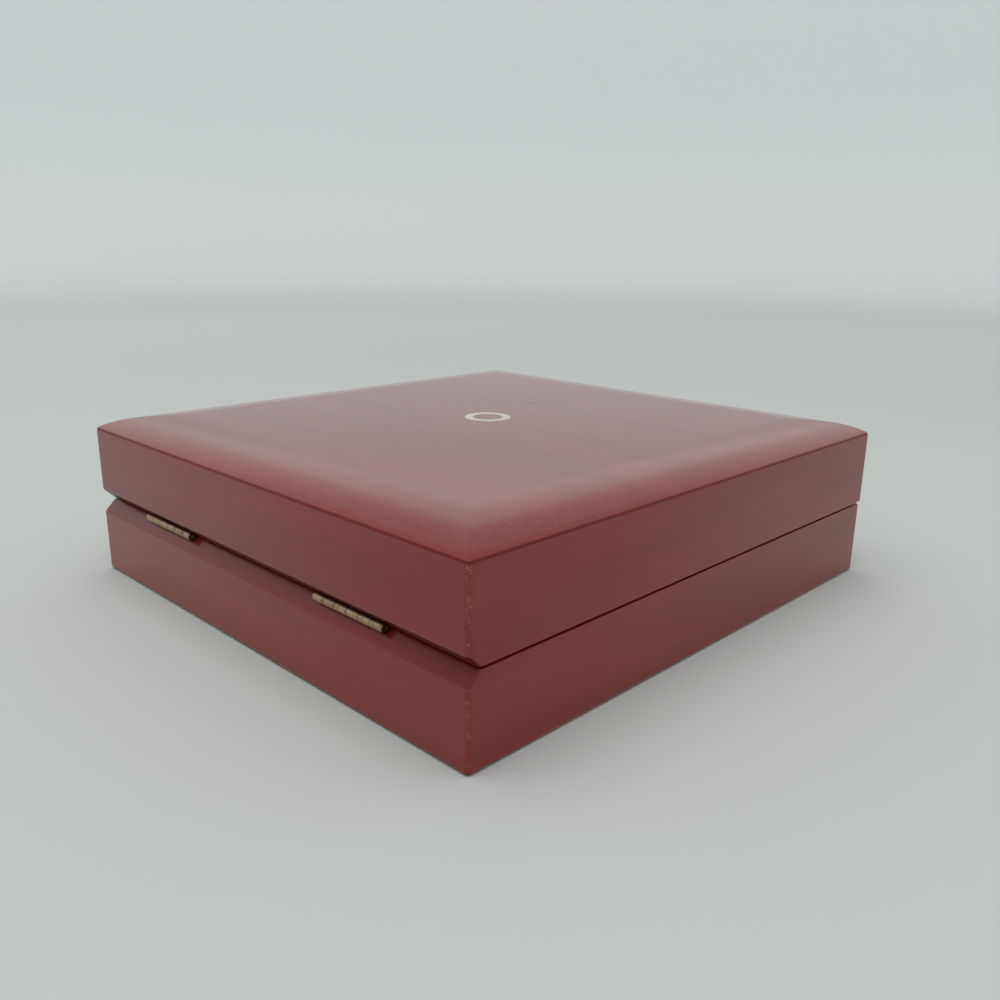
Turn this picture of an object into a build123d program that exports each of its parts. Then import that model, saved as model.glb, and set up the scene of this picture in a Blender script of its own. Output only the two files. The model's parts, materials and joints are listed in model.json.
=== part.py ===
from build123d import *
from math import cos, radians, sin
import os

# A hinged wooden display box for rings, shut. Millimetres, +Z up, hinges at the back (+Y),
# origin on the table under the middle of the lid.

# Case
case_width = 200.0          # outside, left to right
base_depth = 208.0          # outside, front to back
front_overhang = 1.2        # the lid stands this far past the base at the front
seam_height = 27.4          # middle of the gap between base and lid
seam_gap = 0.5
crease_height = 54.2        # where the lid's upright sides end and the crown begins
wall_thickness = 10.0
corner_radius = 1.6         # upright outside corners
foot_radius = 1.4           # bottom edges of the base
rim_radius = 0.8            # edges beside the seam
crease_radius = 0.6

# Crown of the lid: three arcs from each edge, the last one ends level
crown_edge_angle = 47.0     # slope at the edge
crown_shoulder_angle = 28.0  # slope where the edge arc meets the shoulder arc
crown_break_angle = 9.0     # slope where the shoulder arc meets the wide one
crown_edge_run = 1.9        # width of each arc
crown_shoulder_run = 9.5
crown_inner_run = 13.0
top_edge_height = 6.0       # upright edge of the top panel

# V groove along the back: a bevel at 45 degrees on the base and one on the lid
base_bevel = 4.2
lid_bevel = 3.9
bevel_radius = 1.2          # between bevel and back face

# Floor
floor_thickness = 5.0
floor_rebate = 4.0          # how far the floor reaches into the walls
floor_clearance = 0.1
felt_thickness = 1.0
felt_recess = 0.2           # felt to table
felt_margin = 0.5

# Lining
liner_thickness = 2.0
liner_lip = 3.2             # liner boards above the seam, which centre the lid
liner_edge_radius = 0.8
lid_clearance = 0.4         # liner board to lid wall
tray_thickness = 2.0
tray_edge_radius = 0.6
lining_clearance = 0.4      # tray and rolls to liner boards

# Ring rolls
roll_count = 7
roll_gap = 0.6
roll_height = 18.0
roll_crown = 4.5            # how far the top arc rises over the sides
roll_top_radius = 5.0
roll_foot_radius = 3.5
roll_end_radius = 3.0

# Padded lining of the lid
pad_thickness = 4.5
pad_clearance = 0.6
pad_edge_radius = 3.0
pad_corner_radius = 4.0

# Inlaid ring in the middle of the lid
inlay_radius = 8.5
inlay_width = 3.0
inlay_depth = 0.8
inlay_clearance = 0.05

# Hinges
hinge_length = 31.0
hinge_spread = 0.51         # middle of a hinge, as a share of the box's half width
hinge_inset = 2.5           # back face to pin axis
knuckle_count = 6
end_knuckle_length = 4.0
knuckle_gap = 0.15
knuckle_radius = 1.4
knuckle_edge = 0.15
pin_radius = 0.65
pin_clearance = 0.05
pin_recess = 0.4            # pin end inside the barrel's end
leaf_thickness = 0.8
leaf_reach = 6.4            # pin axis to the leaf's free edge
leaf_corner_radius = 0.8
leaf_notch_clearance = 0.3  # leaf to the other leaf's knuckles
mortise_clearance = 0.1
barrel_clearance = 0.35     # wood to barrel
screw_spacing = 19.0
screw_inset = 4.0           # pin axis to screw axis
screw_radius = 0.8
screw_length = 8.0
screw_point_length = 1.6
screw_head_radius = 1.6
screw_head_height = 0.7
screw_slot_width = 0.35
screw_slot_depth = 0.3
screw_clearance = 0.05

# Worked out from the sizes above
lid_depth = base_depth + front_overhang
half_width = case_width / 2
back = lid_depth / 2
lid_front = -back
base_front = back - base_depth
base_top = seam_height - seam_gap / 2
lid_bottom = seam_height + seam_gap / 2
panel_bottom = crease_height - top_edge_height
crown_arcs = [(crown_edge_run, radians(crown_edge_angle), radians(crown_shoulder_angle)),
              (crown_shoulder_run, radians(crown_shoulder_angle), radians(crown_break_angle)),
              (crown_inner_run, radians(crown_break_angle), 0)]
crown_rise = sum(run * (cos(end) - cos(start)) / (sin(start) - sin(end))
                 for run, start, end in crown_arcs)
lid_top_height = crease_height + crown_rise
hinge_offset = hinge_spread * half_width
floor_bottom = felt_recess + felt_thickness
floor_top = floor_bottom + floor_thickness
liner_top = seam_height + liner_lip
inside_half_width = half_width - wall_thickness
inside_front = base_front + wall_thickness
inside_back = back - wall_thickness
lined_half_width = inside_half_width - liner_thickness
lined_front = inside_front + liner_thickness
lined_back = inside_back - liner_thickness
pin_y = back - hinge_inset
leaf_near = seam_gap / 2
leaf_far = leaf_near + leaf_thickness
through = lid_top_height * 2
mitre_reach = wall_thickness * 2


def area(half_x, front, rear):
    # a rectangle seen from above
    return Pos(0, (front + rear) / 2) * Rectangle(2 * half_x, rear - front)


def column(face, low, high):
    # a face seen from above, made solid between two heights
    return extrude(Pos(0, 0, low) * face, high - low)


def along_x(face, half_length):
    # a face in (y, z), made solid to both sides
    return extrude(Plane.YZ.offset(-half_length) * face, 2 * half_length)


def along_y(face, half_length):
    # a face in (x, z), made solid to front and back
    return extrude(Plane.XZ.offset(-half_length) * face, 2 * half_length)


def rounded(face, points, radius):
    # the corners of a face that lie at the given points, rounded
    corners = [face.vertices().sort_by_distance(Vector(*p))[0] for p in points]
    return fillet(corners, radius)


def upright_and_bevel_ends(block):
    # the upright corner edges, and the sloping ends of a bevel
    return [edge for edge in block.edges()
            if abs(edge.tangent_at(0.5).X) < 0.1 and abs(edge.tangent_at(0.5).Z) > 0.5]


def bevelled_frame(front, low, high, bevel, bevel_side):
    # a block of the case with its back edge bevelled on the seam side (1 above, -1 below)
    block = column(area(half_width, front, back), low, high)
    seam = high if bevel_side > 0 else low
    edge = block.edges().sort_by_distance(Vector(0, back, seam))[0]
    block = chamfer(edge, bevel)
    block = fillet(upright_and_bevel_ends(block), corner_radius)
    edge = block.edges().sort_by_distance(Vector(0, back, seam - bevel_side * bevel))[0]
    return fillet(edge, bevel_radius)


def rounded_rim(block, top, radius):
    # the edges all round the top or the bottom face
    face = block.faces().sort_by(Axis.Z)[-1 if top else 0]
    return fillet(face.edges(), radius)


def crease_edges(panel):
    # the edges that run round the top panel where its upright sides end
    return [edge for edge in panel.edges()
            if abs(edge.center().Z - crease_height) < corner_radius
            and abs(edge.tangent_at(0.5).Z) < 0.5]


def climb(point, radius, start, slope, inward):
    # along an arc that flattens from one slope to another; inward is +1 or -1
    return (point[0] + inward * radius * (sin(start) - sin(slope)),
            point[1] + radius * (cos(slope) - cos(start)))


def crown_edge(edge, inward):
    # the arcs that climb from one edge of the lid, and where they begin and end
    foot = head = (edge, crease_height)
    arcs = []
    for run, start, end in crown_arcs:
        radius = run / (sin(start) - sin(end))
        middle = climb(head, radius, start, (start + end) / 2, inward)
        knee = climb(head, radius, start, end, inward)
        arcs.append(ThreePointArc(head, middle, knee))
        head = knee
    return arcs, foot, head


def crown_section(near, far):
    # upright section of the top panel from edge to edge
    near_arcs, near_foot, near_head = crown_edge(near, 1)
    far_arcs, far_foot, far_head = crown_edge(far, -1)
    under = Polyline(far_foot, (far, panel_bottom), (near, panel_bottom), near_foot)
    return make_face(near_arcs + [Line(near_head, far_head)] + far_arcs + [under])


def mitre_regions(half_x, front, rear):
    # what is left, right, in front and behind the mitre planes of a frame with these edges
    out = mitre_reach
    left, right = -half_x, half_x
    corners = {
        "front": [(left - out, front - out), (right + out, front - out),
                  (right - out, front + out), (left + out, front + out)],
        "back": [(left - out, rear + out), (right + out, rear + out),
                 (right - out, rear - out), (left + out, rear - out)],
        "left": [(left - out, front - out), (left - out, rear + out),
                 (left + out, rear - out), (left + out, front + out)],
        "right": [(right + out, front - out), (right + out, rear + out),
                  (right - out, rear - out), (right - out, front + out)],
    }
    return {side: column(make_face(Polyline(*points, close=True)), -through, through)
            for side, points in corners.items()}


def hinge_places():
    return {"left": Pos(-hinge_offset, pin_y, seam_height),
            "right": Pos(hinge_offset, pin_y, seam_height)}


def x_cylinder(radius, length, middle=0):
    return Pos(middle, 0, 0) * Rot(0, 90, 0) * Cylinder(radius, length)


def screw_places():
    return [Pos(x, -screw_inset, -leaf_near) for x in (-screw_spacing / 2, screw_spacing / 2)]


def screw_body(clearance, length):
    # countersunk head flush with the leaf, shank and point, revolved about Z
    head = screw_head_radius + clearance
    shank = screw_radius + clearance
    outline = Polyline((0, 0), (head, 0), (shank, -screw_head_height),
                       (shank, screw_point_length - length), (0, -length), close=True)
    return revolve(Plane.XZ * make_face(outline), Axis.Z)


def hinge_mortise():
    # wood taken out below the seam for one leaf, the barrel and its screws
    half_length = hinge_length / 2 + mortise_clearance
    reach = leaf_reach + mortise_clearance
    pocket = Pos(0, 0, -leaf_far) * Box(2 * half_length, 2 * reach, 2 * leaf_far,
                                        align=(Align.CENTER, Align.CENTER, Align.MIN))
    barrel = x_cylinder(knuckle_radius + barrel_clearance,
                        hinge_length + 2 * barrel_clearance)
    holes = [place * screw_body(screw_clearance, screw_length + screw_point_length / 2)
             for place in screw_places()]
    return pocket + barrel + holes


def knuckle_spans():
    inner_length = (hinge_length - 2 * end_knuckle_length) / (knuckle_count - 2)
    lengths = [end_knuckle_length] + [inner_length] * (knuckle_count - 2) + [end_knuckle_length]
    spans = []
    start = -hinge_length / 2
    for i, length in enumerate(lengths):
        low = start + (knuckle_gap / 2 if i > 0 else 0)
        high = start + length - (knuckle_gap / 2 if i < knuckle_count - 1 else 0)
        spans.append((low, high))
        start += length
    return spans


def hinge_leaf(first_knuckle):
    # lower leaf about the pin axis, with every second knuckle from the first one given
    notch = knuckle_radius + leaf_notch_clearance
    plate = rounded(area(hinge_length / 2, -leaf_reach, -notch),
                    [(-hinge_length / 2, -leaf_reach), (hinge_length / 2, -leaf_reach)],
                    leaf_corner_radius)
    leaf = column(plate, -leaf_far, -leaf_near)
    for low, high in knuckle_spans()[first_knuckle::2]:
        middle = (low + high) / 2
        root = Pos(middle, 0) * Rectangle(high - low, notch, align=(Align.CENTER, Align.MAX))
        barrel = x_cylinder(knuckle_radius, high - low, middle)
        barrel = chamfer(barrel.edges().filter_by(GeomType.CIRCLE), knuckle_edge)
        leaf += column(root, -leaf_far, -leaf_near) + barrel
    leaf -= x_cylinder(pin_radius + pin_clearance, hinge_length + 2)
    leaf -= [place * screw_body(screw_clearance, screw_length) for place in screw_places()]
    return leaf


def screw():
    slot = Box(2 * screw_head_radius + 1, screw_slot_width, 2 * screw_slot_depth)
    return screw_body(0, screw_length) - slot


def base_pieces():
    block = bevelled_frame(base_front, 0, base_top, base_bevel, 1)
    block = rounded_rim(block, False, foot_radius)
    block = rounded_rim(block, True, rim_radius)
    block -= column(area(inside_half_width, inside_front, inside_back), -1, through)
    block -= column(area(inside_half_width + floor_rebate, inside_front - floor_rebate,
                         inside_back + floor_rebate), -1, floor_top)
    for place in hinge_places().values():
        block -= place * hinge_mortise()
    regions = mitre_regions(half_width, base_front, back)
    walls = {f"base_wall_{side}": block & region for side, region in regions.items()}

    reach = floor_rebate - floor_clearance
    floor = column(area(inside_half_width + reach, inside_front - reach, inside_back + reach),
                   floor_bottom, floor_top)
    reach = floor_rebate - felt_margin
    felt = column(area(inside_half_width + reach, inside_front - reach, inside_back + reach),
                  felt_recess, floor_bottom)
    return walls | {"base_floor": floor, "base_felt": felt}


def lining_pieces():
    ring = column(area(inside_half_width, inside_front, inside_back), floor_top, liner_top)
    ring -= column(area(lined_half_width, lined_front, lined_back), 0, through)
    regions = mitre_regions(inside_half_width, inside_front, inside_back)
    pieces = {}
    for side, region in regions.items():
        board = ring & region
        run = Axis.X if side in ("front", "back") else Axis.Y
        long_edges = board.edges().filter_by(run).group_by(Axis.Z)[-1]
        pieces[f"liner_{side}"] = fillet(long_edges, liner_edge_radius)

    half_x = lined_half_width - lining_clearance
    front = lined_front + lining_clearance
    rear = lined_back - lining_clearance
    tray = column(area(half_x, front, rear), floor_top, floor_top + tray_thickness)
    pieces["tray_board"] = fillet(tray.edges().group_by(Axis.Z)[-1], tray_edge_radius)

    pitch = (rear - front + roll_gap) / roll_count
    half_roll = (pitch - roll_gap) / 2
    foot = floor_top + tray_thickness
    side = foot + roll_height - roll_crown
    top = ThreePointArc((-half_roll, side), (0, foot + roll_height), (half_roll, side))
    section = make_face([top, Polyline((half_roll, side), (half_roll, foot), (-half_roll, foot),
                                       (-half_roll, side))])
    section = rounded(section, [(-half_roll, side), (half_roll, side)], roll_top_radius)
    section = rounded(section, [(-half_roll, foot), (half_roll, foot)], roll_foot_radius)
    roll = along_x(section, half_x)
    roll = fillet(roll.edges() - roll.edges().filter_by(Axis.X), roll_end_radius)
    for i in range(roll_count):
        pieces[f"ring_roll_{i + 1}"] = Pos(0, front + half_roll + i * pitch, 0) * roll
    return pieces


def lid_pieces():
    frame = bevelled_frame(lid_front, lid_bottom, panel_bottom, lid_bevel, -1)
    frame = rounded_rim(frame, False, rim_radius)
    panel = along_x(crown_section(lid_front, back), half_width)
    panel &= along_y(crown_section(-half_width, half_width), lid_depth)
    panel = fillet(panel.edges().filter_by(Axis.Z), corner_radius)
    panel = fillet(crease_edges(panel), crease_radius)

    half_x = inside_half_width + lid_clearance
    front = inside_front - lid_clearance
    rear = inside_back + lid_clearance
    frame -= column(area(half_x, front, rear), 0, through)
    for place in hinge_places().values():
        frame -= place * Rot(180, 0, 0) * mirror(hinge_mortise(), Plane.XZ)
    regions = mitre_regions(half_width, lid_front, back)
    walls = {f"lid_wall_{side}": frame & region for side, region in regions.items()}

    inlay_bottom = lid_top_height - inlay_depth
    inner_radius = inlay_radius - inlay_width
    inlay = column(Circle(inlay_radius) - Circle(inner_radius), inlay_bottom, lid_top_height)
    panel -= column(Circle(inlay_radius + inlay_clearance) - Circle(inner_radius - inlay_clearance),
                    inlay_bottom, through)
    pad = column(area(half_x - pad_clearance, front + pad_clearance, rear - pad_clearance),
                 panel_bottom - pad_thickness, panel_bottom)
    pad = fillet(pad.edges().filter_by(Axis.Z), pad_corner_radius)
    pad = rounded_rim(pad, False, pad_edge_radius)
    return walls | {"lid_top": panel, "lid_inlay": inlay, "lid_pad": pad}


def hinge_pieces():
    pieces = {}
    flip = Rot(180, 0, 0)
    base_screws = []
    lid_screws = []
    for side, place in hinge_places().items():
        pieces[f"hinge_base_leaf_{side}"] = place * hinge_leaf(0)
        pieces[f"hinge_lid_leaf_{side}"] = place * flip * mirror(hinge_leaf(1), Plane.XZ)
        pieces[f"hinge_pin_{side}"] = place * x_cylinder(pin_radius, hinge_length - 2 * pin_recess)
        base_screws += [place * spot * screw() for spot in screw_places()]
        lid_screws += [place * flip * mirror(spot * screw(), Plane.XZ) for spot in screw_places()]
    pieces["hinge_base_screws"] = Compound(base_screws)
    pieces["hinge_lid_screws"] = Compound(lid_screws)
    return pieces


os.makedirs("parts", exist_ok=True)
box = base_pieces() | lining_pieces() | lid_pieces() | hinge_pieces()
for name, piece in box.items():
    piece.label = name
    export_step(piece, f"parts/{name}.step")
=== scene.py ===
import json
from math import cos, pi, radians, sin

import bmesh
import bpy
from mathutils import Matrix, Vector, noise

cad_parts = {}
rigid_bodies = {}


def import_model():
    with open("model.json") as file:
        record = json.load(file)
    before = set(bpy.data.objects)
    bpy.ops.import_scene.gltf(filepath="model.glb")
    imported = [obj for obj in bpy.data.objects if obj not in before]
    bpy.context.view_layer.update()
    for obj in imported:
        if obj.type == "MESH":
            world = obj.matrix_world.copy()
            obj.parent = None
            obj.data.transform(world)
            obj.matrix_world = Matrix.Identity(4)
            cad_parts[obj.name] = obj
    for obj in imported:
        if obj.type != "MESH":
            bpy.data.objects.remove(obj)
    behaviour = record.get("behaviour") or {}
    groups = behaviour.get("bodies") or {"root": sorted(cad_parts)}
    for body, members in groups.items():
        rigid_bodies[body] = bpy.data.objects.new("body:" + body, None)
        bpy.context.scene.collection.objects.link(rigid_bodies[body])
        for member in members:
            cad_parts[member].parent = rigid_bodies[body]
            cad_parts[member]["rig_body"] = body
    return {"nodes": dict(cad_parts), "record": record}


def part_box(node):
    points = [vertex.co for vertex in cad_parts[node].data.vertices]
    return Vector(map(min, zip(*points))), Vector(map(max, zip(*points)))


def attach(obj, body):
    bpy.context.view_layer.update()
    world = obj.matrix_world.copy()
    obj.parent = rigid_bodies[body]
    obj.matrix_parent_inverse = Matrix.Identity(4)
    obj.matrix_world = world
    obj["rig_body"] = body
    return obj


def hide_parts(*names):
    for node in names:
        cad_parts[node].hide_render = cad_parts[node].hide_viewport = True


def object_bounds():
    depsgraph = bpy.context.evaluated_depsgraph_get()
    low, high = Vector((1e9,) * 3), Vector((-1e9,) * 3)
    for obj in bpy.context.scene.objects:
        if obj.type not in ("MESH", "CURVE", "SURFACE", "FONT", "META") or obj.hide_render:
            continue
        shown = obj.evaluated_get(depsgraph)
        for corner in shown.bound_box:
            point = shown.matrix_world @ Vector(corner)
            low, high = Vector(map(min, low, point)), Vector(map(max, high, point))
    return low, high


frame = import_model()
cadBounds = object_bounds()
nodes = frame["nodes"]
mm = 0.001
sides = ("front", "back", "left", "right")
hinges = ("left", "right")
rollNames = sorted(name for name in nodes if name.startswith("ring_roll"))
print("frame loaded,", len(nodes), "nodes")


def linear(hexColour):
    # "#rrggbb" as written in a picture editor, turned to the linear values a shader takes
    values = [int(hexColour[i:i + 2], 16) / 255 for i in (1, 3, 5)]
    return [v / 12.92 if v <= 0.04045 else ((v + 0.055) / 1.055) ** 2.4 for v in values] + [1.0]


# Camera: where the photograph was taken from, in millimetres
cameraView = {
    "place": (-239.5, 237.25, 125.4),
    "lookAt": (63.15, -71.6, 0.0),
    "roll": 0.764,        # degrees
    "lens": 33.085,
    "sensor": 36.0,
}


def makeCamera():
    data = bpy.data.cameras.new("photoCamera")
    data.lens = cameraView["lens"]
    data.sensor_width = cameraView["sensor"]
    data.clip_start = 0.01
    data.clip_end = 20
    camera = bpy.data.objects.new("photoCamera", data)
    bpy.context.collection.objects.link(camera)
    place = Vector(cameraView["place"]) * mm
    forward = Vector(cameraView["lookAt"]) * mm - place
    turn = forward.to_track_quat("-Z", "Y").to_matrix().to_4x4()
    roll = Matrix.Rotation(radians(cameraView["roll"]), 4, "Z")
    camera.matrix_world = Matrix.Translation(place) @ turn @ roll
    bpy.context.scene.camera = camera


makeCamera()


def addNode(tree, kind, values):
    # values are settings and inputs of the node; a node or an output among them is linked. Of a
    # MapRange, inputs 1 and 2 are the ends of the range, 3 and 4 what it gives there; of a colour
    # Mix, input 0 is the share of input 7 over input 6
    node = tree.nodes.new("ShaderNode" + kind)
    for name, value in values.items():
        source = value.outputs[0] if isinstance(value, bpy.types.Node) else value
        if isinstance(name, str) and hasattr(node, name):
            setattr(node, name, value)
        elif isinstance(source, bpy.types.NodeSocket):
            tree.links.new(source, node.inputs[name])
        else:
            node.inputs[name].default_value = value
    return node


def newMaterial(name):
    material = bpy.data.materials.new(name)
    material.use_nodes = True
    tree = material.node_tree
    tree.nodes.clear()
    shader = addNode(tree, "BsdfPrincipled", {})
    addNode(tree, "OutputMaterial", {"Surface": shader})
    place = addNode(tree, "TexCoord", {})
    return material, tree, shader, place


# Crowned top board, with the same arcs as the solid, in millimetres and degrees
crown = {
    "creaseHeight": 54.2,
    "slopes": (47.0, 28.0, 9.0, 0.0),    # at the edge, and where each arc ends
    "runs": (1.9, 9.5, 13.0),
    "cuts": (2, 10, 9),                  # across each arc
    "cornerRadius": 1.6,
    "cornerSteps": 6,
    "creaseRadius": 0.6,
    "creaseSteps": 3,
    "middleCuts": 14,
    "underInlay": 0.02,                  # the inlaid ring stands this much proud
}


# Red-stained mahogany veneer under satin lacquer: figure and pores run along the longest way of
# each board, and the lacquer gives soft, blurred reflections. Lengths are in millimetres; a range
# says between which values of a pattern its layer comes in, and a depth how strong it gets
veneer = {
    "stain": "#7f2119",
    "darkFigure": "#721a13",
    "paleFigure": "#88281e",
    "poreColour": "#56110c",
    "bareWood": "#c09a80",
    "figureSize": (160.0, 16.0),           # along the grain and across it
    "figureRange": (0.3, 0.7),
    "figureDepth": 0.5,
    "streakSize": (160.0 / 3, 16.0 / 7),
    "streakRange": (0.45, 0.72),
    "streakDepth": 0.12,
    "poreSize": (9.0, 0.45),               # real pores are 0.2 mm, drawn twice as coarse to show
    "poreRange": (0.55, 0.75),
    "poreDepth": 0.35,
    "speckSize": 0.7,                      # fine dark specks all over
    "speckRange": (0.6, 0.78),
    "speckDepth": 0.45,
    "spots": ((17.0, 0.35, 0.6, "#2c0f0c"),    # dark flecks: spacing, radius, depth, colour
              (6.5, 0.17, 0.45, "#c09a80")),   # pale dust
    "spotEdge": 0.6,                       # where a spot starts to fade, as a share of its radius
    "turnAt": 0.72,                        # faces turned more than this to X have grain along Y
    "paintedSheenColour": "#866459",               # painted reflection: greyish streaks, like polishing haze, on the slopes of the crown
    "paintedSheenSize": (8.0, 0.8),
    "paintedSheenHeights": (54.7, 56.2, 58.8, 59.8),
    "paintedSheenRange": (0.1, 0.9),
    "paintedSheenDepth": 0.26,
    "creaseLift": 0.3,                     # darker colour and thinner lacquer along the sharp top edge
    "creaseReach": (0.15, 0.5),
    "creaseDepth": 0.75,
    "grooveShadeColour": "#4a0f0b",             # painted shade on the two bevels round the hinges
    "grooveTilt": (0.65, 0.2),
    "grooveTop": 40.0,
    "grooveFront": 100.5,
    "grooveUpper": 0.8,                    # on the lid's bevel, which faces down
    "grooveLower": 0.3,                    # on the base's bevel, which faces up
    "wearReach": 1.05,                     # rubbed line down the upright corners
    "wearWidth": 0.35,
    "wearPatch": 1.3,
    "wearRange": (0.5, 0.7),
    "wearDepth": 0.14,
    "chips": ((-99.3, 104.3, 53.5, 0.42), (-99.75, 103.9, 53.0, 0.35), (-99.1, 104.5, 52.6, 0.25),
              (-99.55, 104.15, 34.6, 0.3), (-99.95, 103.0, 36.2, 0.25), (-99.95, 104.2, 23.4, 0.2),
              (-99.95, 103.3, 24.4, 0.22), (-99.95, 102.5, 25.3, 0.18), (-99.95, 101.6, 26.2, 0.18)),
    "chipRagged": 1.6,                     # how far noise moves a chip's edge, as a share of its size
    "chipEdge": (1.1, 1.5),
    "chipDepth": 0.7,
    "poreHeight": 0.5,
    "grainBump": 0.03,
    "bumpDistance": 0.2,
    "roughness": 0.42,
    "woodIor": 1.5,
    "woodSpecular": 0.1,
    "lacquerIor": 1.46,
    "lacquerRoughness": 0.16,
}


def makeVeneer():
    material, tree, shader, place = newMaterial("lacqueredMahoganyVeneer")
    spot = place.outputs["Object"]
    x, y, z = addNode(tree, "SeparateXYZ", {0: spot}).outputs
    swapped = addNode(tree, "CombineXYZ", {0: y, 1: x, 2: z})
    facing = addNode(tree, "SeparateXYZ", {0: place.outputs["Normal"]})
    towardX = addNode(tree, "Math", {"operation": "ABSOLUTE", 0: facing.outputs["X"]})
    sideways = addNode(tree, "Math", {"operation": "GREATER_THAN", 0: towardX, 1: veneer["turnAt"]})
    run = addNode(tree, "Mix", {"data_type": "VECTOR", 0: sideways, 4: spot, 5: swapped}).outputs[1]

    def grain(size, detail, distortion=0.0, roughness=0.5):
        along, across = 1 / (size[0] * mm), 1 / (size[1] * mm)
        stretch = addNode(tree, "Mapping", {"Vector": run, "Scale": (along, across, across)})
        return addNode(tree, "TexNoise", {"Vector": stretch, "Scale": 1.0, "Detail": detail,
                                          "Distortion": distortion, "Roughness": roughness})

    figure = grain(veneer["figureSize"], detail=3.0, distortion=0.6)
    streaks = grain(veneer["streakSize"], detail=4.0, distortion=0.3, roughness=0.65)
    pores = grain(veneer["poreSize"], detail=2.0)
    specks = addNode(tree, "TexNoise", {"Vector": spot, "Scale": 1 / (veneer["speckSize"] * mm),
                                        "Detail": 1.0})

    # layers from the wood up: pattern, its range, the depth at both ends of the range, colour
    low, high = veneer["figureRange"]
    figured = addNode(tree, "MapRange", {"interpolation_type": "SMOOTHSTEP", 0: figure, 1: low, 2: high})
    colour = addNode(tree, "Mix", {"data_type": "RGBA", 0: figured, 6: linear(veneer["darkFigure"]),
                                   7: linear(veneer["paleFigure"])}).outputs[2]
    colour = addNode(tree, "Mix", {"data_type": "RGBA", 0: veneer["figureDepth"], 6: colour,
                                   7: linear(veneer["stain"])}).outputs[2]
    layers = [(streaks, veneer["streakRange"], (0, veneer["streakDepth"]), veneer["darkFigure"]),
              (pores, veneer["poreRange"], (0, veneer["poreDepth"]), veneer["poreColour"]),
              (specks, veneer["speckRange"], (0, veneer["speckDepth"]), veneer["poreColour"])]
    for spacing, size, depth, tint in veneer["spots"]:
        cells = addNode(tree, "TexVoronoi", {"Vector": spot, "Scale": 1 / (spacing * mm)})
        layers.append((cells, (size * veneer["spotEdge"] / spacing, size / spacing), (depth, 0), tint))
    for pattern, (low, high), (first, last), tint in layers:
        depth = addNode(tree, "MapRange", {"interpolation_type": "SMOOTHSTEP", 0: pattern, 1: low, 2: high,
                                           3: first, 4: last})
        colour = addNode(tree, "Mix", {"data_type": "RGBA", 0: depth, 6: colour, 7: linear(tint)}).outputs[2]

    # painted reflection in greyish streaks, only on the slopes of the crown
    low, lowFull, highFull, high = [level * mm for level in veneer["paintedSheenHeights"]]
    above = addNode(tree, "MapRange", {"interpolation_type": "SMOOTHSTEP", 0: z, 1: low, 2: lowFull})
    below = addNode(tree, "MapRange", {"interpolation_type": "SMOOTHSTEP", 0: z, 1: highFull, 2: high,
                                       3: 1, 4: 0})
    onSlope = addNode(tree, "Math", {"operation": "MULTIPLY", 0: above, 1: below})
    low, high = veneer["paintedSheenRange"]
    wiped = grain(veneer["paintedSheenSize"], detail=4.0, distortion=0.6)
    rubbed = addNode(tree, "MapRange", {"interpolation_type": "SMOOTHSTEP", 0: wiped, 1: low, 2: high,
                                        4: veneer["paintedSheenDepth"]})
    paintedSheen = addNode(tree, "Math", {"operation": "MULTIPLY", 0: onSlope, 1: rubbed})

    # dark line along the top edge, where the upright side turns into the crown
    creaseLine = (crown["creaseHeight"] + veneer["creaseLift"]) * mm
    fromCrease = addNode(tree, "Math", {"operation": "SUBTRACT", 0: z, 1: creaseLine})
    fromCrease = addNode(tree, "Math", {"operation": "ABSOLUTE", 0: fromCrease})
    low, high = [reach * mm for reach in veneer["creaseReach"]]
    crease = addNode(tree, "MapRange", {"interpolation_type": "SMOOTHSTEP", 0: fromCrease, 1: low, 2: high,
                                        3: veneer["creaseDepth"], 4: 0})

    # painted shade on the bevels: slanted faces low down at the back, darkest where they face down
    tilt = addNode(tree, "Math", {"operation": "ABSOLUTE", 0: facing.outputs["Z"]})
    middle, spread = veneer["grooveTilt"]
    slanted = addNode(tree, "Math", {"operation": "COMPARE", 0: tilt, 1: middle, 2: spread})
    lowDown = addNode(tree, "Math", {"operation": "LESS_THAN", 0: z, 1: veneer["grooveTop"] * mm})
    atBack = addNode(tree, "Math", {"operation": "GREATER_THAN", 0: y, 1: veneer["grooveFront"] * mm})
    onBevel = addNode(tree, "Math", {"operation": "MULTIPLY", 0: slanted, 1: lowDown})
    onBevel = addNode(tree, "Math", {"operation": "MULTIPLY", 0: onBevel, 1: atBack})
    downwards = addNode(tree, "Math", {"operation": "LESS_THAN", 0: facing.outputs["Z"], 1: 0.0})
    lower, more = veneer["grooveLower"], veneer["grooveUpper"] - veneer["grooveLower"]
    paintedShade = addNode(tree, "Math", {"operation": "MULTIPLY_ADD", 0: downwards, 1: more, 2: lower})
    paintedShade = addNode(tree, "Math", {"operation": "MULTIPLY", 0: paintedShade, 1: onBevel})

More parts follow.
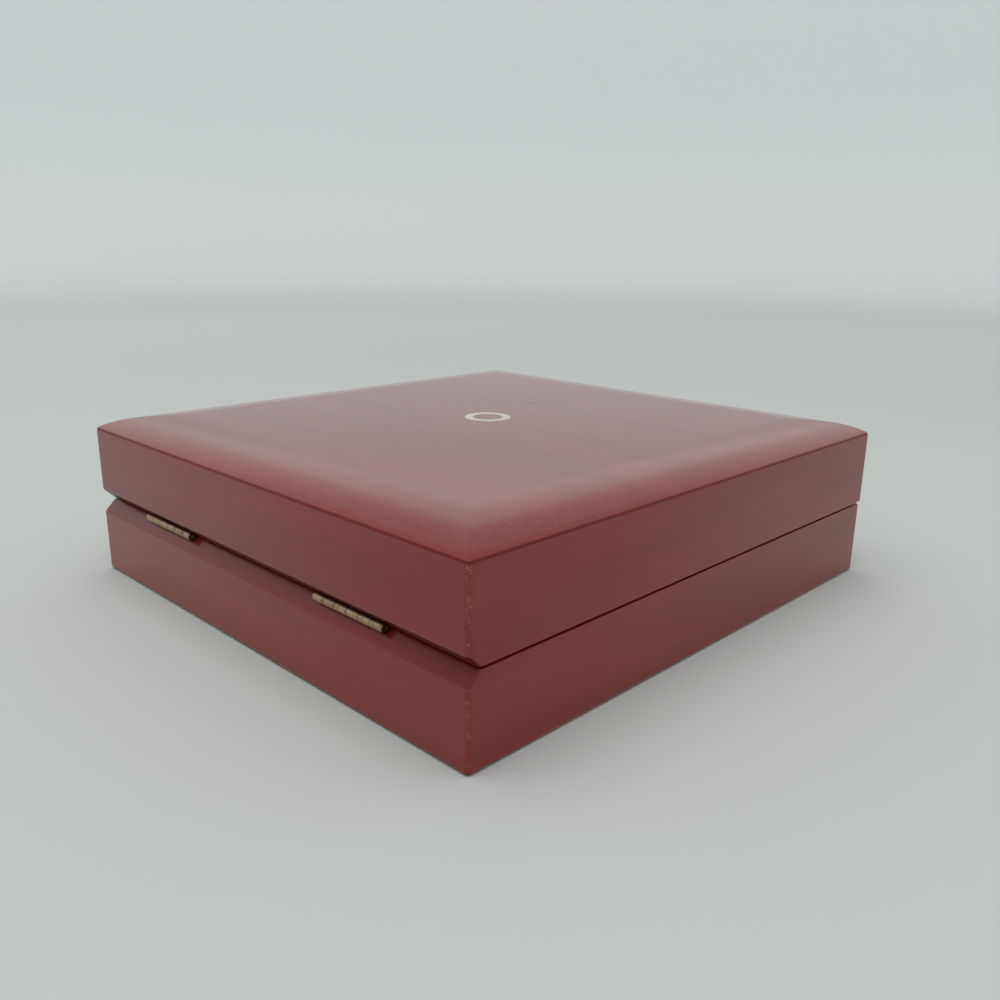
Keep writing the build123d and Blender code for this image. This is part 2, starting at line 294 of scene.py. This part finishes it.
    # rubbed line down the upright corners, broken up by noise, and the chips
    besideX = addNode(tree, "Math", {"operation": "ABSOLUTE", 0: x})
    besideY = addNode(tree, "Math", {"operation": "ABSOLUTE", 0: y})
    corner = addNode(tree, "Math", {"operation": "ADD", 0: besideX, 1: besideY})
    reach = (cadBounds[1].x + cadBounds[1].y) - veneer["wearReach"] * mm
    rub = addNode(tree, "MapRange", {"interpolation_type": "SMOOTHSTEP", 0: corner,
                                     1: reach - veneer["wearWidth"] * mm, 2: reach, 4: veneer["wearDepth"]})
    patches = addNode(tree, "TexNoise", {"Vector": spot, "Scale": 1 / (veneer["wearPatch"] * mm),
                                         "Detail": 4.0})
    low, high = veneer["wearRange"]
    patchy = addNode(tree, "MapRange", {"interpolation_type": "SMOOTHSTEP", 0: patches, 1: low, 2: high})
    worn = addNode(tree, "Math", {"operation": "MULTIPLY", 0: rub, 1: patchy})
    low, high = veneer["chipEdge"]
    for chipX, chipY, chipZ, size in veneer["chips"]:
        gap = addNode(tree, "VectorMath", {"operation": "DISTANCE", 0: spot,
                                           1: (chipX * mm, chipY * mm, chipZ * mm)}).outputs["Value"]
        ragged = addNode(tree, "Math", {"operation": "MULTIPLY_ADD", 0: patches,
                                        1: size * veneer["chipRagged"] * mm, 2: gap})
        chip = addNode(tree, "MapRange", {"interpolation_type": "SMOOTHSTEP", 0: ragged, 1: size * low * mm,
                                          2: size * high * mm, 3: veneer["chipDepth"], 4: 0})
        worn = addNode(tree, "Math", {"operation": "MAXIMUM", 0: worn, 1: chip})

    # mixed in: the painted reflection on the slopes, the dark line on the top edge, the painted shade on the
    # bevels, and the worn wood and chips
    for depth, tint in ((paintedSheen, "paintedSheenColour"), (crease, "poreColour"), (paintedShade, "grooveShadeColour"),
                        (worn, "bareWood")):
        colour = addNode(tree, "Mix", {"data_type": "RGBA", 0: depth, 6: colour,
                                       7: linear(veneer[tint])}).outputs[2]
    # thinner lacquer, so less reflection, in the painted shade of the bevels and along the top edge
    thin = addNode(tree, "Math", {"operation": "MAXIMUM", 0: paintedShade, 1: crease})
    lacquer = addNode(tree, "Math", {"operation": "SUBTRACT", 0: 1.0, 1: thin})
    height = addNode(tree, "Math", {"operation": "MULTIPLY_ADD", 0: pores, 1: veneer["poreHeight"],
                                    2: streaks})
    bump = addNode(tree, "Bump", {"Strength": veneer["grainBump"], "Distance": veneer["bumpDistance"] * mm,
                                  "Height": height})
    tree.links.new(colour, shader.inputs["Base Color"])
    tree.links.new(lacquer.outputs[0], shader.inputs["Coat Weight"])
    tree.links.new(bump.outputs[0], shader.inputs["Normal"])
    tree.links.new(bump.outputs[0], shader.inputs["Coat Normal"])
    shader.inputs["Roughness"].default_value = veneer["roughness"]
    shader.inputs["IOR"].default_value = veneer["woodIor"]
    shader.inputs["Specular IOR Level"].default_value = veneer["woodSpecular"]
    shader.inputs["Coat IOR"].default_value = veneer["lacquerIor"]
    shader.inputs["Coat Roughness"].default_value = veneer["lacquerRoughness"]
    return material


# Aged brass: bright where it is touched, brown in patches, with painted shade in the gaps between
# the knuckles, in millimetres
brass = {
    "clean": "#b59577",
    "tarnish": "#7a5f43",
    "tarnishRange": (0.4, 0.75),
    "tarnishDepth": 0.6,
    "patchSize": 2.4,
    # painted shade in the gaps between the knuckles
    "paintedShade": "#1d130d",
    "gapShadeReach": (0.12, 0.3),
    "gapShadeDepth": 0.75,
    "hingeMiddle": 51.0,          # from the middle of the box
    "hingeLength": 31.0,
    "knuckles": 6,
    "pinAxis": (102.1, 27.4),     # Y and Z
    "barrelReach": 2.6,
    "roughness": (0.18, 0.48),    # in the clean and in the dull patches
    "bump": 0.15,
    "bumpDistance": 0.03,
}


def makeBrass():
    material, tree, shader, place = newMaterial("agedBrass")
    spot = place.outputs["Object"]
    x, y, z = addNode(tree, "SeparateXYZ", {0: spot}).outputs
    patches = addNode(tree, "TexNoise", {"Vector": spot, "Scale": 1 / (brass["patchSize"] * mm),
                                         "Detail": 5.0})
    low, high = brass["tarnishRange"]
    dull = addNode(tree, "MapRange", {"interpolation_type": "SMOOTHSTEP", 0: patches, 1: low, 2: high,
                                      4: brass["tarnishDepth"]})
    colour = addNode(tree, "Mix", {"data_type": "RGBA", 0: dull, 6: linear(brass["clean"]),
                                   7: linear(brass["tarnish"])}).outputs[2]
    pitch = brass["hingeLength"] / brass["knuckles"]
    start = brass["hingeMiddle"] - brass["hingeLength"] / 2
    along = addNode(tree, "Math", {"operation": "ABSOLUTE", 0: x})
    along = addNode(tree, "Math", {"operation": "SUBTRACT", 0: along, 1: start * mm})
    fromGap = addNode(tree, "Math", {"operation": "PINGPONG", 0: along, 1: pitch / 2 * mm})
    away = addNode(tree, "Math", {"operation": "SUBTRACT", 0: y, 1: brass["pinAxis"][0] * mm})
    above = addNode(tree, "Math", {"operation": "SUBTRACT", 0: z, 1: brass["pinAxis"][1] * mm})
    square = addNode(tree, "Math", {"operation": "MULTIPLY", 0: above, 1: above})
    square = addNode(tree, "Math", {"operation": "MULTIPLY_ADD", 0: away, 1: away, 2: square})
    fromPin = addNode(tree, "Math", {"operation": "SQRT", 0: square})
    onBarrel = addNode(tree, "Math", {"operation": "LESS_THAN", 0: fromPin, 1: brass["barrelReach"] * mm})
    # painted shade on the barrel, darkest at the gaps between the knuckles
    low, high = [reach * mm for reach in brass["gapShadeReach"]]
    paintedShade = addNode(tree, "MapRange", {"interpolation_type": "SMOOTHSTEP", 0: fromGap, 1: low, 2: high,
                                       3: brass["gapShadeDepth"], 4: 0})
    paintedShade = addNode(tree, "Math", {"operation": "MULTIPLY", 0: paintedShade, 1: onBarrel})
    colour = addNode(tree, "Mix", {"data_type": "RGBA", 0: paintedShade, 6: colour,
                                   7: linear(brass["paintedShade"])}).outputs[2]
    smooth, rough = brass["roughness"]
    roughness = addNode(tree, "Math", {"operation": "MULTIPLY_ADD", 0: patches, 1: rough - smooth, 2: smooth})
    bump = addNode(tree, "Bump", {"Strength": brass["bump"], "Distance": brass["bumpDistance"] * mm,
                                  "Height": patches})
    tree.links.new(colour, shader.inputs["Base Color"])
    tree.links.new(roughness.outputs[0], shader.inputs["Roughness"])
    tree.links.new(bump.outputs[0], shader.inputs["Normal"])
    shader.inputs["Metallic"].default_value = 1.0
    return material


# Pale maple under the same lacquer: fine darker lines along the grain
maple = {
    "pale": "#cfbba8",
    "line": "#b79c84",
    "grainLength": 14.0,
    "grainWidth": 0.8,
    "grainRange": (0.45, 0.7),
    "roughness": 0.4,
}


def makeMaple():
    material, tree, shader, place = newMaterial("lacqueredMaple")
    across = 1 / (maple["grainWidth"] * mm)
    stretch = addNode(tree, "Mapping", {"Vector": place.outputs["Object"],
                                        "Scale": (1 / (maple["grainLength"] * mm), across, across)})
    grain = addNode(tree, "TexNoise", {"Vector": stretch, "Scale": 1.0, "Detail": 3.0})
    low, high = maple["grainRange"]
    lines = addNode(tree, "MapRange", {"interpolation_type": "SMOOTHSTEP", 0: grain, 1: low, 2: high})
    colour = addNode(tree, "Mix", {"data_type": "RGBA", 0: lines, 6: linear(maple["pale"]),
                                   7: linear(maple["line"])})
    tree.links.new(colour.outputs[2], shader.inputs["Base Color"])
    shader.inputs["Roughness"].default_value = maple["roughness"]
    shader.inputs["Coat Weight"].default_value = 1.0
    shader.inputs["Coat Roughness"].default_value = veneer["lacquerRoughness"]
    return material


# Cloths: short-pile velvet on the rolls, napped lining cloth, satin in the lid, wool felt below
cloths = {
    "rollVelvet": {"colour": "#cfc2ad", "shade": "#b8a992", "thread": 0.5, "bump": 0.6, "sheen": 0.9,
                   "roughness": 0.9, "nap": 0.45, "napSize": 16.0},
    "liningCloth": {"colour": "#c9bba3", "shade": "#b3a48b", "thread": 0.6, "bump": 0.4, "sheen": 0.3,
                    "roughness": 0.9, "nap": 0.2, "napSize": 30.0},
    "lidSatin": {"colour": "#d8cbb4", "shade": "#c4b69c", "thread": 0.35, "bump": 0.12, "sheen": 0.15,
                 "roughness": 0.36, "nap": 0.15, "napSize": 40.0},
    "undersideFelt": {"colour": "#2a2423", "shade": "#191514", "thread": 0.9, "bump": 0.6, "sheen": 0.3,
                      "roughness": 1.0, "nap": 0.4, "napSize": 20.0},
}
clothWeave = {
    "napRange": (0.3, 0.75),
    "fibreRange": (0.35, 0.7),
    "fibreDepth": 0.45,
    "bumpDistance": 0.15,    # mm
    "sheenRoughness": 0.4,
}


def makeCloth(name):
    # fibres shown as fine noise; the shade lies in soft patches where the nap leans over
    cloth = cloths[name]
    material, tree, shader, place = newMaterial(name)
    spot = place.outputs["Object"]
    fibre = addNode(tree, "TexNoise", {"Vector": spot, "Scale": 1 / (cloth["thread"] * mm), "Detail": 2.0})
    nap = addNode(tree, "TexNoise", {"Vector": spot, "Scale": 1 / (cloth["napSize"] * mm), "Detail": 2.0})
    colour = linear(cloth["colour"])
    for pattern, (low, high), depth in ((nap, clothWeave["napRange"], cloth["nap"]),
                                        (fibre, clothWeave["fibreRange"], clothWeave["fibreDepth"])):
        shaded = addNode(tree, "MapRange", {"interpolation_type": "SMOOTHSTEP", 0: pattern, 1: low, 2: high,
                                            4: depth})
        colour = addNode(tree, "Mix", {"data_type": "RGBA", 0: shaded, 6: colour,
                                       7: linear(cloth["shade"])}).outputs[2]
    bump = addNode(tree, "Bump", {"Strength": cloth["bump"], "Distance": clothWeave["bumpDistance"] * mm,
                                  "Height": fibre})
    tree.links.new(colour, shader.inputs["Base Color"])
    tree.links.new(bump.outputs[0], shader.inputs["Normal"])
    shader.inputs["Roughness"].default_value = cloth["roughness"]
    shader.inputs["Sheen Weight"].default_value = cloth["sheen"]
    shader.inputs["Sheen Roughness"].default_value = clothWeave["sheenRoughness"]
    return material


# Plain board of the floor, with pressed wood chips, seen only if the felt is taken off
board = {
    "pale": "#a98a66",
    "dark": "#8c6c4b",
    "chipSize": 2.0,    # mm
    "roughness": 0.8,
}


def makeBoard():
    material, tree, shader, place = newMaterial("plainBoard")
    chips = addNode(tree, "TexNoise", {"Vector": place.outputs["Object"],
                                       "Scale": 1 / (board["chipSize"] * mm), "Detail": 4.0})
    colour = addNode(tree, "Mix", {"data_type": "RGBA", 0: chips, 6: linear(board["pale"]),
                                   7: linear(board["dark"])})
    tree.links.new(colour.outputs[2], shader.inputs["Base Color"])
    shader.inputs["Roughness"].default_value = board["roughness"]
    return material


materials = {
    "lacquered_veneer": makeVeneer(),
    "hinge_brass": makeBrass(),
    "inlay_wood": makeMaple(),
    "floor_board": makeBoard(),
    "roll_velvet": makeCloth("rollVelvet"),
    "lining_cloth": makeCloth("liningCloth"),
    "lid_satin": makeCloth("lidSatin"),
    "underside_felt": makeCloth("undersideFelt"),
}
materials["brass_pins_and_screws"] = materials["hinge_brass"]
slotOf = {part["node"]: part["material_slot"] for part in frame["record"]["subparts"]}
for name, node in nodes.items():
    node.data.materials.clear()
    node.data.materials.append(materials[slotOf[name]])
print("materials made")

# Copies of the solids: points closer than mergeReach are one, faces within flatAngle are joined, and
# an edge that turns by more than bendAngle shades as sharp
copies = {
    "mergeReach": 0.002,     # mm
    "sliverReach": 0.005,
    "flatAngle": 0.5,        # degrees
    "bendAngle": 40.0,
}


def shadeByLargest(mesh):
    # a corner's normal comes from the faces round its point that turn away by less than the bend, and
    # mostly from the large ones, so flat boards shade flat right up to their rounded edges
    sameSide = cos(radians(copies["bendAngle"]))
    around = [[] for vertex in mesh.vertices]
    for face in mesh.polygons:
        for vertex in face.vertices:
            around[vertex].append(face)
    normals = []
    for face in mesh.polygons:
        for vertex in face.vertices:
            total = Vector((0, 0, 0))
            for other in around[vertex]:
                if other.normal.dot(face.normal) > sameSide:
                    total += other.normal * (other.area / mm ** 2) ** 2
            normals.append(total.normalized())
    mesh.normals_split_custom_set(normals)


def newPiece(bm, name, node, soft=False):
    # the finished mesh takes the node's place, body and finish
    mesh = bpy.data.meshes.new(name)
    bm.to_mesh(mesh)
    bm.free()
    for polygon in mesh.polygons:
        polygon.use_smooth = True
    if not soft:
        shadeByLargest(mesh)
    mesh.materials.append(materials[slotOf[node]])
    piece = bpy.data.objects.new(name, mesh)
    bpy.context.collection.objects.link(piece)
    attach(piece, nodes[node]["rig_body"])
    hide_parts(node)
    return piece


def mergedCopy(node):
    bm = bmesh.new()
    bm.from_mesh(nodes[node].data)
    bmesh.ops.remove_doubles(bm, verts=bm.verts, dist=copies["mergeReach"] * mm)
    return bm


def smoothCopy(node, name):
    # the node's own shape with its small triangles joined, so its rounded edges shade as round
    bm = mergedCopy(node)
    bmesh.ops.dissolve_limit(bm, angle_limit=radians(copies["flatAngle"]), verts=bm.verts, edges=bm.edges)
    bmesh.ops.dissolve_degenerate(bm, dist=copies["sliverReach"] * mm, edges=bm.edges)
    newPiece(bm, name, node)


for side in sides:
    smoothCopy(f"base_wall_{side}", f"baseBoard_{side}")
    smoothCopy(f"lid_wall_{side}", f"lidBoard_{side}")
for side in hinges:
    smoothCopy(f"hinge_base_leaf_{side}", f"lowerLeaf_{side}")
    smoothCopy(f"hinge_lid_leaf_{side}", f"upperLeaf_{side}")
    smoothCopy(f"hinge_pin_{side}", f"hingePin_{side}")
print("boards and hinges made")


def crownRise(inward):
    # height above the crease at a distance from the edge, in mm
    rise = 0.0
    for run, steep, flat in zip(crown["runs"], crown["slopes"], crown["slopes"][1:]):
        steepSine, flatSine = sin(radians(steep)), sin(radians(flat))
        radius = run / (steepSine - flatSine)
        along = min(max(inward, 0.0), run)
        rise += radius * ((1 - (steepSine - along / radius) ** 2) ** 0.5 - cos(radians(steep)))
        inward -= run
    return rise


def cutAcross(bm, point, direction):
    bmesh.ops.bisect_plane(bm, geom=bm.verts[:] + bm.edges[:] + bm.faces[:], plane_co=point,
                           plane_no=direction, dist=0.0005 * mm)


def makeTopBoard():
    low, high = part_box("lid_top")
    crease = crown["creaseHeight"] * mm
    bm = bmesh.new()
    bmesh.ops.create_cube(bm, size=1)
    bmesh.ops.scale(bm, verts=bm.verts, vec=(high.x - low.x, high.y - low.y, crease - low.z))
    middle = ((low.x + high.x) / 2, (low.y + high.y) / 2, (crease + low.z) / 2)
    bmesh.ops.translate(bm, verts=bm.verts, vec=middle)
    upright = [e for e in bm.edges if abs(e.verts[0].co.z - e.verts[1].co.z) > mm]
    bmesh.ops.bevel(bm, geom=upright, offset=crown["cornerRadius"] * mm, segments=crown["cornerSteps"],
                    profile=0.5, affect="EDGES", material=-1)
    rim = [e for e in bm.edges if all(v.co.z > crease - 0.001 * mm for v in e.verts)]
    bmesh.ops.bevel(bm, geom=rim, offset=crown["creaseRadius"] * mm, segments=crown["creaseSteps"],
                    profile=0.5, affect="EDGES", material=-1)
    slope = sum(crown["runs"])
    steps = []
    start = 0.0
    for run, count in zip(crown["runs"], crown["cuts"]):
        steps += [start + run * (i + 1) / count for i in range(count)]
        start += run
    for axis, direction in ((0, Vector((1, 0, 0))), (1, Vector((0, 1, 0)))):
        first, last = low[axis], high[axis]
        width = last - first - 2 * slope * mm
        cuts = [first + step * mm for step in steps] + [last - step * mm for step in steps]
        cuts += [first + slope * mm + width * i / crown["middleCuts"] for i in range(1, crown["middleCuts"])]
        for cut in cuts:
            cutAcross(bm, direction * cut, direction)
    # mitre lines from the four corners
    for x in (low.x, high.x):
        for y in (low.y, high.y):
            cutAcross(bm, Vector((x, y, 0)), Vector((1, -1 if (x > 0) == (y > 0) else 1, 0)))
    for vert in bm.verts:
        if vert.co.z > crease - (crown["creaseRadius"] + 0.01) * mm:
            inward = min(vert.co.x - low.x, high.x - vert.co.x, vert.co.y - low.y, high.y - vert.co.y)
            vert.co.z = min(vert.co.z + crownRise(inward / mm) * mm, high.z - crown["underInlay"] * mm)
    newPiece(bm, "topBoard", "lid_top")


makeTopBoard()
print("top board made")


# Foam under cloth: the cover starts slack inside its space, is blown up by Blender's cloth, and no
# point leaves the box of the solid
foam = {
    "mass": 0.001,       # kg for each point of the cover
    "pressure": 4.0,
    "quality": 6,
    "frames": 20,
    "waveSeed": 1,       # the same small waves each run; 0 would take them from the clock
}
noise.seed_set(foam["waveSeed"])


def coverMesh(node, pinch, heldAbove=False):
    # the node's shape, drawn in by pinch (x, y, z) in mm on its free sides
    low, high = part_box(node)
    bm = mergedCopy(node)
    middle = (low + high) / 2
    for axis in (0, 1):
        half = (high[axis] - low[axis]) / 2
        for vert in bm.verts:
            vert.co[axis] = middle[axis] + (vert.co[axis] - middle[axis]) * (1 - pinch[axis] * mm / half)
    fixed = high.z if heldAbove else low.z
    for vert in bm.verts:
        vert.co.z = fixed + (vert.co.z - fixed) * (1 - pinch[2] * mm / (high.z - low.z))
    return bm


def asObject(bm, name):
    mesh = bpy.data.meshes.new(name)
    bm.to_mesh(mesh)
    bm.free()
    thing = bpy.data.objects.new(name, mesh)
    bpy.context.collection.objects.link(thing)
    return thing


def settled(thing):
    # the mesh with its modifiers done, as bmesh, and the object put away
    ready = thing.evaluated_get(bpy.context.evaluated_depsgraph_get())
    bm = bmesh.new()
    bm.from_mesh(ready.data)
    mesh = thing.data
    bpy.data.objects.remove(thing)
    bpy.data.meshes.remove(mesh)
    return bm


def evenMesh(bm, voxel):
    thing = asObject(bm, "cover")
    remesh = thing.modifiers.new("even", "REMESH")
    remesh.mode = "VOXEL"
    remesh.voxel_size = voxel * mm
    return settled(thing)


def puffed(bm, node, soft, isHeld):
    # slack is the share by which the cloth may grow, cap how far a point may move, in mm
    low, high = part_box(node)
    start = [vert.co.copy() for vert in bm.verts]
    thing = asObject(bm, "cover")
    held = thing.vertex_groups.new(name="held")
    held.add([i for i, place in enumerate(start) if isHeld(place)], 1.0, "REPLACE")
    cloth = thing.modifiers.new("foam", "CLOTH").settings
    cloth.quality = foam["quality"]
    cloth.mass = foam["mass"]
    cloth.use_pressure = True
    cloth.uniform_pressure_force = foam["pressure"]
    cloth.effector_weights.gravity = 0.0
    cloth.vertex_group_mass = "held"
    cloth.shrink_min = -soft["slack"]
    for step in range(foam["frames"]):
        bpy.context.scene.frame_set(step + 1)
    bm = settled(thing)
    bpy.context.scene.frame_set(1)
    for vert, place in zip(bm.verts, start):
        move = vert.co - place
        if move.length > soft["cap"] * mm:
            move *= soft["cap"] * mm / move.length
        for axis in range(3):
            vert.co[axis] = min(max(place[axis] + move[axis], low[axis]), high[axis])
    return bm


def softPiece(bm, name, node):
    piece = newPiece(bm, name, node, soft=True)
    finer = piece.modifiers.new("finer", "SUBSURF")
    finer.levels = 1
    finer.render_levels = 1


# Ring rolls: foam bars in velvet, tucked in at both ends, in millimetres
rolls = {
    "pinch": (0.5, 0.4, 0.8),
    "voxel": 2.6,
    "unevenness": 0.22,
    "waveLength": 14.0,
    "seedStep": 7.3,         # how far apart two rolls read the noise, in waves
    "gluedHeight": 1.2,
    "tuckDepth": 2.5,
    "tuckRadius": 3.5,
    "slack": 0.015,
    "cap": 1.2,
    "fill": 0.8,
}


def makeRoll(node, seed):
    low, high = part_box(node)
    middle = (low + high) / 2
    bm = evenMesh(coverMesh(node, rolls["pinch"]), rolls["voxel"])
    for vert in bm.verts:
        spot = vert.co / (rolls["waveLength"] * mm) + Vector((seed * rolls["seedStep"], 0, 0))
        vert.co += noise.noise_vector(spot) * rolls["unevenness"] * mm

    def isHeld(place):
        onTray = place.z < low.z + rolls["gluedHeight"] * mm
        atEnd = min(place.x - low.x, high.x - place.x) < rolls["tuckDepth"] * mm
        fromMiddle = Vector((place.y - middle.y, place.z - middle.z)).length
        return onTray or (atEnd and fromMiddle < rolls["tuckRadius"] * mm)

    bm = puffed(bm, node, rolls, isHeld)
    softPiece(bm, node.replace("ring_roll_", "velvetRoll"), node)


for seed, name in enumerate(rollNames):
    makeRoll(name, seed)
print("rolls made")


# Lid pad: satin over thin foam, glued flat to the underside of the lid, in millimetres
lidPad = {
    "pinch": (0.3, 0.3, 1.2),
    "voxel": 2.4,
    "unevenness": 0.25,
    "waveLength": 18.0,
    "gluedDepth": 0.8,
    "slack": 0.035,
    "cap": 1.3,
    "fill": 0.5,
}


def makeLidPad():
    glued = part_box("lid_pad")[1].z - lidPad["gluedDepth"] * mm
    bm = evenMesh(coverMesh("lid_pad", lidPad["pinch"], heldAbove=True), lidPad["voxel"])
    for vert in bm.verts:
        if vert.co.z < glued:
            vert.co += noise.noise_vector(vert.co / (lidPad["waveLength"] * mm)) * lidPad["unevenness"] * mm
    bm = puffed(bm, "lid_pad", lidPad, lambda place: place.z > glued)
    softPiece(bm, "satinPad", "lid_pad")


makeLidPad()
print("lid pad made")


# Stage: a white paper sweep all round with a low wall, and a soft sky that is brightest at the sides
studio = {
    "floorPaper": "#bec0bc",
    "farPaper": "#d0d2cf",
    "farRange": (0.45, 1.25),     # metres from the middle
    "covePaper": "#e0e3e2",
    "coveRange": (-0.02, 0.06),   # metres up
    "wallPaper": "#d9dddd",
    "wallRange": (0.1, 0.45),
    "paperRoughness": 0.9,
    "paperSpecular": 0.1,
    "holeRadius": 0.02,           # closed with one face
    "floorRadius": 1.3,
    "coveRadius": 0.5,
    "coveSteps": 8,
    "roundSteps": 64,
    "wallTop": 0.62,
    "skyColour": "#f4f9fb",
    "skyRange": (0.32, 0.62),     # sine of the height in the sky where it turns dimmer
    "sideStrength": 1.07,
    "overheadStrength": 0.55,
    "keySize": 1.6,
    "keyPlace": (0.0, 0.3, 1.6),
    "keyPower": 14.8,
}


def makeSweep():
    bm = bmesh.new()
    profile = [bm.verts.new((studio["holeRadius"], 0, 0))]
    radius = studio["coveRadius"]
    for i in range(studio["coveSteps"] + 1):
        turn = pi / 2 * i / studio["coveSteps"]
        out, up = studio["floorRadius"] + radius * sin(turn), radius * (1 - cos(turn))
        profile.append(bm.verts.new((out, 0, up)))
    profile.append(bm.verts.new((studio["floorRadius"] + radius, 0, studio["wallTop"])))
    edges = [bm.edges.new(pair) for pair in zip(profile, profile[1:])]
    bmesh.ops.spin(bm, geom=profile + edges, cent=(0, 0, 0), axis=(0, 0, 1), angle=2 * pi,
                   steps=studio["roundSteps"], use_merge=True)
    rim = [e for e in bm.edges if e.is_boundary and e.verts[0].co.z < mm]
    bmesh.ops.contextual_create(bm, geom=rim)
    bmesh.ops.recalc_face_normals(bm, faces=bm.faces)
    mesh = bpy.data.meshes.new("paperSweep")
    bm.to_mesh(mesh)
    bm.free()
    for polygon in mesh.polygons:
        polygon.use_smooth = True
    sweep = bpy.data.objects.new("paperSweep", mesh)
    bpy.context.collection.objects.link(sweep)
    mesh.materials.append(makePaper())


def makePaper():
    # matt white paper, toned a little so that it looks even from the box to the wall
    material, tree, shader, place = newMaterial("palePaper")
    spot = place.outputs["Object"]
    up = addNode(tree, "SeparateXYZ", {0: spot}).outputs["Z"]
    away = addNode(tree, "VectorMath", {"operation": "LENGTH", 0: spot}).outputs["Value"]
    colour = linear(studio["floorPaper"])
    for distance, part in ((away, "far"), (up, "cove"), (up, "wall")):
        low, high = studio[part + "Range"]
        share = addNode(tree, "MapRange", {"interpolation_type": "SMOOTHSTEP", 0: distance, 1: low, 2: high})
        colour = addNode(tree, "Mix", {"data_type": "RGBA", 0: share, 6: colour,
                                       7: linear(studio[part + "Paper"])}).outputs[2]
    tree.links.new(colour, shader.inputs["Base Color"])
    shader.inputs["Roughness"].default_value = studio["paperRoughness"]
    shader.inputs["Specular IOR Level"].default_value = studio["paperSpecular"]
    return material


def makeSky():
    world = bpy.data.worlds.new("softSky")
    bpy.context.scene.world = world
    world.use_nodes = True
    tree = world.node_tree
    aim = addNode(tree, "TexCoord", {})
    height = addNode(tree, "SeparateXYZ", {0: aim.outputs["Generated"]}).outputs["Z"]
    low, high = studio["skyRange"]
    strength = addNode(tree, "MapRange", {0: height, 1: low, 2: high, 3: studio["sideStrength"],
                                          4: studio["overheadStrength"]})
    background = tree.nodes["Background"]
    background.inputs["Color"].default_value = linear(studio["skyColour"])
    tree.links.new(strength.outputs[0], background.inputs["Strength"])


def makeSoftbox():
    key = bpy.data.lights.new("softbox", "AREA")
    key.shape = "SQUARE"
    key.size = studio["keySize"]
    key.energy = studio["keyPower"]
    lamp = bpy.data.objects.new("softbox", key)
    lamp.location = studio["keyPlace"]
    lamp.rotation_euler = lamp.location.to_track_quat("Z", "Y").to_euler()
    lamp.visible_glossy = False
    bpy.context.collection.objects.link(lamp)


makeSweep()
makeSky()
makeSoftbox()
bpy.context.scene.view_settings.view_transform = "Standard"
print("stage made")
